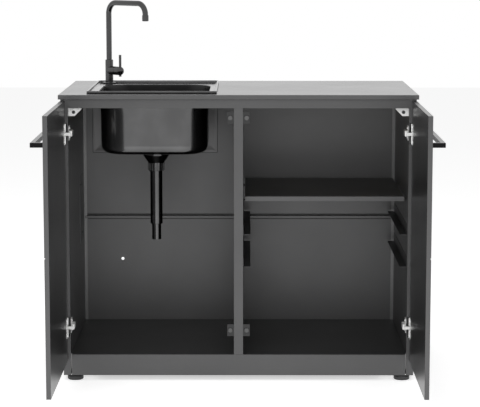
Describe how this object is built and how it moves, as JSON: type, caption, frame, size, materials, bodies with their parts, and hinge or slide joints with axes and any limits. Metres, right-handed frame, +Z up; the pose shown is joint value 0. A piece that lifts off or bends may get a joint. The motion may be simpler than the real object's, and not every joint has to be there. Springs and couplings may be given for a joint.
{
  "type": "kitchen sink unit",
  "caption": "Powder-coated steel kitchen sink unit with hinged double doors, an inset black bowl with swivel tap and waste pipe, and a shelved cupboard with tray runners.",
  "frame": {"origin": "on the floor, under the middle of the footprint with both doors open at a right angle", "axes": "+X to the right as seen from the front, +Y towards the wall behind, +Z up"},
  "size_m": [1.273, 1.2764, 1.2713],
  "materials": {
    "powder_coat": "satin anthracite powder coat",
    "handle_coat": "black satin powder coat",
    "black_satin": "black satin coating",
    "zinc_plate": "bright zinc plate",
    "black_plastic": "matt black plastic",
    "rubber": "matt",
    "magnet": "ground ferrite face",
    "core_board": "raw board"
  },
  "bodies": {
    "cabinet": {"worktop": "powder_coat", "side_panel_left": "powder_coat", "side_panel_right": "powder_coat", "side_liner_left": "powder_coat", "side_liner_right": "powder_coat", "top_rail_front": "powder_coat", "top_rail_rear": "powder_coat", "base_tray": "powder_coat", "centre_partition": "powder_coat", "back_panel_upper": "powder_coat", "back_recess_pan": "powder_coat", "back_panel_lower": "powder_coat", "service_cover": "powder_coat", "catch_plates": "powder_coat", "shelf": "powder_coat", "tray_runners_left": "powder_coat", "tray_runners_right": "powder_coat", "sink_bowl": "black_satin", "tap_base_ring": "black_satin", "tap_body": "black_satin", "waste_flange": "black_satin", "panel_screws": "black_satin", "corner_bracket_left": "zinc_plate", "corner_bracket_right": "zinc_plate", "foot_locknuts": "zinc_plate", "foot_plates": "zinc_plate", "sink_clips": "zinc_plate", "hinge_arms_left": "zinc_plate", "hinge_arms_right": "zinc_plate", "tap_nut": "zinc_plate", "levelling_feet": "black_plastic", "shelf_pins": "black_plastic", "waste_body": "black_plastic", "waste_collar": "black_plastic", "tailpipe_upper": "black_plastic", "tailpipe_lower": "black_plastic", "sink_seal": "rubber", "waste_gasket": "rubber", "tap_washer": "rubber", "catch_magnets": "magnet", "worktop_core": "core_board"},
    "door_left": {"door_left_skin": "powder_coat", "door_left_liner": "powder_coat", "handle_left": "handle_coat", "handle_screws_left": "zinc_plate", "hinge_cups_left": "zinc_plate", "hinge_pins_left": "zinc_plate"},
    "door_right": {"door_right_skin": "powder_coat", "door_right_liner": "powder_coat", "handle_right": "handle_coat", "handle_screws_right": "zinc_plate", "hinge_cups_right": "zinc_plate", "hinge_pins_right": "zinc_plate"},
    "spout": {"spout_tube": "black_satin", "aerator": "black_satin"},
    "spindle": {"lever_spindle": "zinc_plate"},
    "lever": {"lever_cap": "black_satin", "lever_pin": "zinc_plate", "lever_rod": "black_satin"},
    "basket": {"strainer_basket": "zinc_plate"}
  },
  "joints": [
    {"name": "door_left_hinge", "type": "hinge", "parent": "cabinet", "child": "door_left", "pos_m": [-0.5865, -0.05325, 0.51], "axis": [0, 0, 1], "range_deg": [-15, 90]},
    {"name": "door_right_hinge", "type": "hinge", "parent": "cabinet", "child": "door_right", "pos_m": [0.5865, -0.05325, 0.51], "axis": [0, 0, 1], "range_deg": [-90, 15]},
    {"name": "spout_swivel", "type": "hinge", "parent": "cabinet", "child": "spout", "pos_m": [-0.4645, 0.47525, 1.059], "axis": [0, 0, 1], "continuous": true},
    {"name": "lever_turn", "type": "hinge", "parent": "cabinet", "child": "spindle", "pos_m": [-0.4645, 0.47525, 1.021], "axis": [0.6691, -0.7431, 0], "range_deg": [-45, 45]},
    {"name": "lever_tilt", "type": "hinge", "parent": "spindle", "child": "lever", "pos_m": [-0.43305, 0.44032, 1.021], "axis": [0.7431, 0.6691, 0], "range_deg": [0, 12]},
    {"name": "basket_lift", "type": "slide", "parent": "cabinet", "child": "basket", "axis": [0, 0, 1], "range_m": [0, 0.04]}
  ]
}
